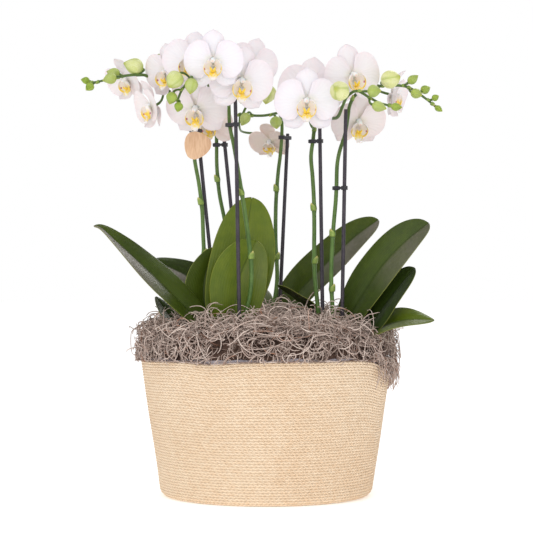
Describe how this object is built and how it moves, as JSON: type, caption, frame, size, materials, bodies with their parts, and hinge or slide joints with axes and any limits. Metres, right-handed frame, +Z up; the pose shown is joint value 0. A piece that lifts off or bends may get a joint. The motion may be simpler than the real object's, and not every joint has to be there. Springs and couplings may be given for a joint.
{
  "type": "moth orchid in basket",
  "caption": "White many-flowered moth orchids standing together in a round rope basket, with curled moss over their pots and the flower stems clipped to black sticks.",
  "frame": {"origin": "middle of the basket's underside", "axes": "+Z up, the flowers face -Y, +X to the right of a viewer who looks at them"},
  "size_m": [0.3201, 0.2624, 0.4071],
  "materials": {
    "rope": "matte straw-coloured cord, twisted and wound in rows",
    "film": "thin grey crumpled film",
    "black_plastic": "satin black",
    "pot_plastic": "smooth, milky clear",
    "bark": "rough chips of dark brown bark",
    "moss": "dry grey-beige curled strands",
    "leaf_green": "waxy deep green with a soft sheen",
    "stem_green": "smooth mid-green, paler on the buds",
    "petal_white": "soft white with a faint lilac tint, yellow and magenta on the lip",
    "stick_black": "satin black paint",
    "tag_board": "bare, matte, salmon-brown"
  },
  "bodies": {
    "root": {"basket": "rope", "liner": "film", "water_reservoir": "black_plastic", "left_pot": "pot_plastic", "left_bark": "bark", "left_crown": "stem_green", "left_leaf_1": "leaf_green", "left_leaf_2": "leaf_green", "left_leaf_3": "leaf_green", "left_leaf_4": "leaf_green", "left_leaf_5": "leaf_green", "back_pot": "pot_plastic", "back_bark": "bark", "back_crown": "stem_green", "back_leaf_1": "leaf_green", "back_leaf_2": "leaf_green", "back_leaf_3": "leaf_green", "right_pot": "pot_plastic", "right_bark": "bark", "right_crown": "stem_green", "right_leaf_1": "leaf_green", "right_leaf_2": "leaf_green", "right_leaf_3": "leaf_green", "right_leaf_4": "leaf_green", "right_leaf_5": "leaf_green", "stick_a": "stick_black", "spray_a": "stem_green", "clip_a": "black_plastic", "stick_b": "stick_black", "spray_b": "stem_green", "clip_b": "black_plastic", "stick_c": "stick_black", "spray_c": "stem_green", "clip_c": "black_plastic", "stick_d": "stick_black", "spray_d": "stem_green", "clip_d": "black_plastic", "stick_e": "stick_black", "spray_e": "stem_green", "clip_e": "black_plastic", "stick_f": "stick_black", "spray_f": "stem_green", "clip_f": "black_plastic", "bloom_1": "petal_white", "bloom_2": "petal_white", "bloom_3": "petal_white", "bloom_4": "petal_white", "bloom_5": "petal_white", "bloom_6": "petal_white", "bloom_7": "petal_white", "bloom_8": "petal_white", "bloom_9": "petal_white", "bloom_10": "petal_white", "bloom_11": "petal_white", "bloom_12": "petal_white", "bloom_13": "petal_white", "bloom_14": "petal_white", "bloom_15": "petal_white", "tag": "tag_board", "moss": "moss"}
  },
  "joints": []
}
